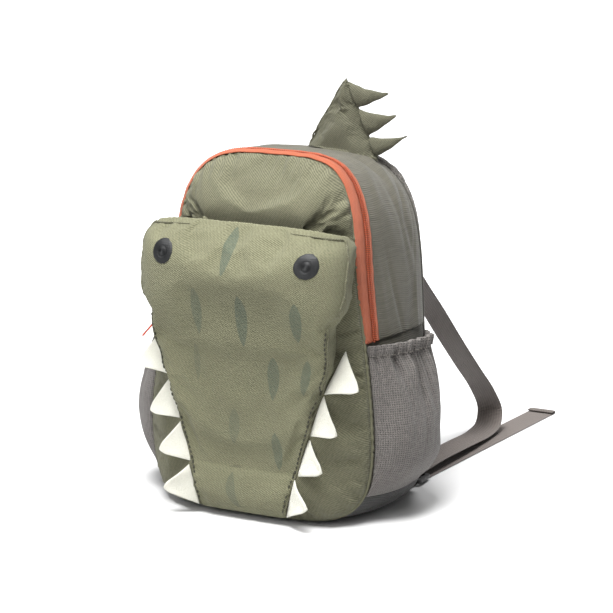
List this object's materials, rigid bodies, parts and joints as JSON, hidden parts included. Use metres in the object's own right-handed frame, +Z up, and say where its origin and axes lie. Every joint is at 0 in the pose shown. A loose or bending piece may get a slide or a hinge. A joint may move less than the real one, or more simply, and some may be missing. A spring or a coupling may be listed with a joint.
{
  "type": "small backpack",
  "caption": "Small child's backpack with a padded crocodile-head front pocket, felt teeth, a stuffed spiked tail, gathered side pockets, an arched zipper and shoulder straps.",
  "frame": {"origin": "middle of the flat foot, on the surface that the bag stands on", "axes": "+Z up, -Y towards what the face looks at, +X to the right seen from the front; the straps lie behind, towards +Y"},
  "size_m": [0.2694, 0.4411, 0.3501],
  "materials": {
    "twill": "matt cotton twill",
    "gusset_nylon": "soft plain-weave nylon",
    "base_nylon": "dark plain-weave nylon",
    "pocket_mesh": "fine mesh",
    "back_mesh": "padded mesh",
    "zipper_tape": "woven tape",
    "zipper_coil": "satin",
    "zipper_metal": "satin",
    "felt": "felt",
    "eye_thread": "embroidery",
    "tail_twill": "matt cotton twill",
    "webbing": "ribbed webbing",
    "buckle_plastic": "satin"
  },
  "bodies": {
    "bag": {"front_panel": "twill", "head_pocket": "twill", "gusset": "gusset_nylon", "back_panel": "back_mesh", "base_panel": "base_nylon", "zipper_tape_front": "zipper_tape", "zipper_tape_back": "zipper_tape", "zipper_coil": "zipper_coil", "zipper_slider": "zipper_metal", "tail_fin": "tail_twill", "tail_spike_1": "tail_twill", "tail_spike_2": "tail_twill", "tail_spike_3": "tail_twill", "side_panel_right": "gusset_nylon", "side_pocket_right": "pocket_mesh", "pocket_hem_right": "pocket_mesh", "eye_right": "eye_thread", "tooth_right_1": "felt", "tooth_right_2": "felt", "tooth_right_3": "felt", "tooth_right_4": "felt", "shoulder_strap_right": "back_mesh", "webbing_right": "webbing", "adjuster_tab_right": "webbing", "strap_adjuster_right": "buckle_plastic", "side_panel_left": "gusset_nylon", "side_pocket_left": "pocket_mesh", "pocket_hem_left": "pocket_mesh", "eye_left": "eye_thread", "tooth_left_1": "felt", "tooth_left_2": "felt", "tooth_left_3": "felt", "tooth_left_4": "felt", "shoulder_strap_left": "back_mesh", "webbing_left": "webbing", "adjuster_tab_left": "webbing", "strap_adjuster_left": "buckle_plastic"},
    "pull": {"zipper_pull": "zipper_metal"}
  },
  "joints": [
    {"name": "pull_swing", "type": "hinge", "parent": "bag", "child": "pull", "pos_m": [-0.09905, -0.02504, 0.15558], "axis": [-0.3324, 0.9426, 0.0334], "range_deg": [0, 120]}
  ]
}
